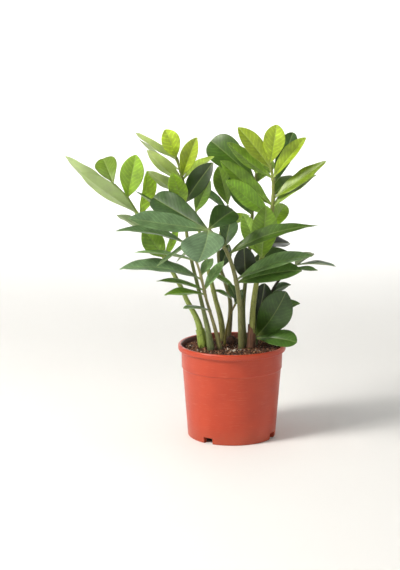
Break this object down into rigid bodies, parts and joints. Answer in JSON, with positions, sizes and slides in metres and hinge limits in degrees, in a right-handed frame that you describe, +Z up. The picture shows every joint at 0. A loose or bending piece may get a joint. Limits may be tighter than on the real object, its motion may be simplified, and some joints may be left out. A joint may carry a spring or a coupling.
{
  "type": "potted zz plant",
  "caption": "Bushy potted house plant with upright fleshy stems and glossy leaflets, in a tapered plastic nursery pot of soil with a rolled rim.",
  "frame": {"origin": "middle of the flat foot pad under the pot, on the surface that the pot stands on", "axes": "+Z up; -Y towards the front of the plant; +X to the right as seen from the front"},
  "size_m": [0.4221, 0.2652, 0.4941],
  "materials": {
    "pot_plastic": "satin",
    "potting_soil": "matte",
    "tuber_bark": "matte",
    "dry_sheath": "matte",
    "stem_skin": "satin",
    "leaf_blade": "satin"
  },
  "bodies": {
    "root": {"pot": "pot_plastic", "soil": "potting_soil", "crown": "tuber_bark", "sheath_a": "stem_skin", "sheath_e": "dry_sheath", "stem_a": "stem_skin", "leaflet_a_1": "leaf_blade", "leaflet_a_2": "leaf_blade", "leaflet_a_3": "leaf_blade", "leaflet_a_4": "leaf_blade", "leaflet_a_5": "leaf_blade", "leaflet_a_6": "leaf_blade", "stem_b": "stem_skin", "leaflet_b_1": "leaf_blade", "leaflet_b_2": "leaf_blade", "leaflet_b_3": "leaf_blade", "leaflet_b_4": "leaf_blade", "leaflet_b_5": "leaf_blade", "leaflet_b_6": "leaf_blade", "leaflet_b_7": "leaf_blade", "stem_c": "stem_skin", "leaflet_c_1": "leaf_blade", "stem_d": "stem_skin", "leaflet_d_1": "leaf_blade", "stem_k": "stem_skin", "leaflet_k_1": "leaf_blade", "leaflet_k_2": "leaf_blade", "leaflet_k_3": "leaf_blade", "stem_e": "stem_skin", "leaflet_e_1": "leaf_blade", "leaflet_e_2": "leaf_blade", "leaflet_e_3": "leaf_blade", "leaflet_e_4": "leaf_blade", "leaflet_e_5": "leaf_blade", "leaflet_e_6": "leaf_blade", "leaflet_e_7": "leaf_blade", "leaflet_e_8": "leaf_blade", "leaflet_e_9": "leaf_blade", "leaflet_e_10": "leaf_blade", "leaflet_e_11": "leaf_blade", "leaflet_e_12": "leaf_blade", "stem_f": "stem_skin", "leaflet_f_1": "leaf_blade", "leaflet_f_2": "leaf_blade", "leaflet_f_3": "leaf_blade", "leaflet_f_4": "leaf_blade", "leaflet_f_5": "leaf_blade", "leaflet_f_6": "leaf_blade", "leaflet_f_7": "leaf_blade", "leaflet_f_8": "leaf_blade", "leaflet_f_9": "leaf_blade", "stem_g": "stem_skin", "leaflet_g_1": "leaf_blade", "leaflet_g_2": "leaf_blade", "stem_i": "stem_skin", "stem_j": "stem_skin", "leaflet_j_1": "leaf_blade", "leaflet_j_2": "leaf_blade", "leaflet_j_3": "leaf_blade", "stem_t": "stem_skin"}
  },
  "joints": []
}
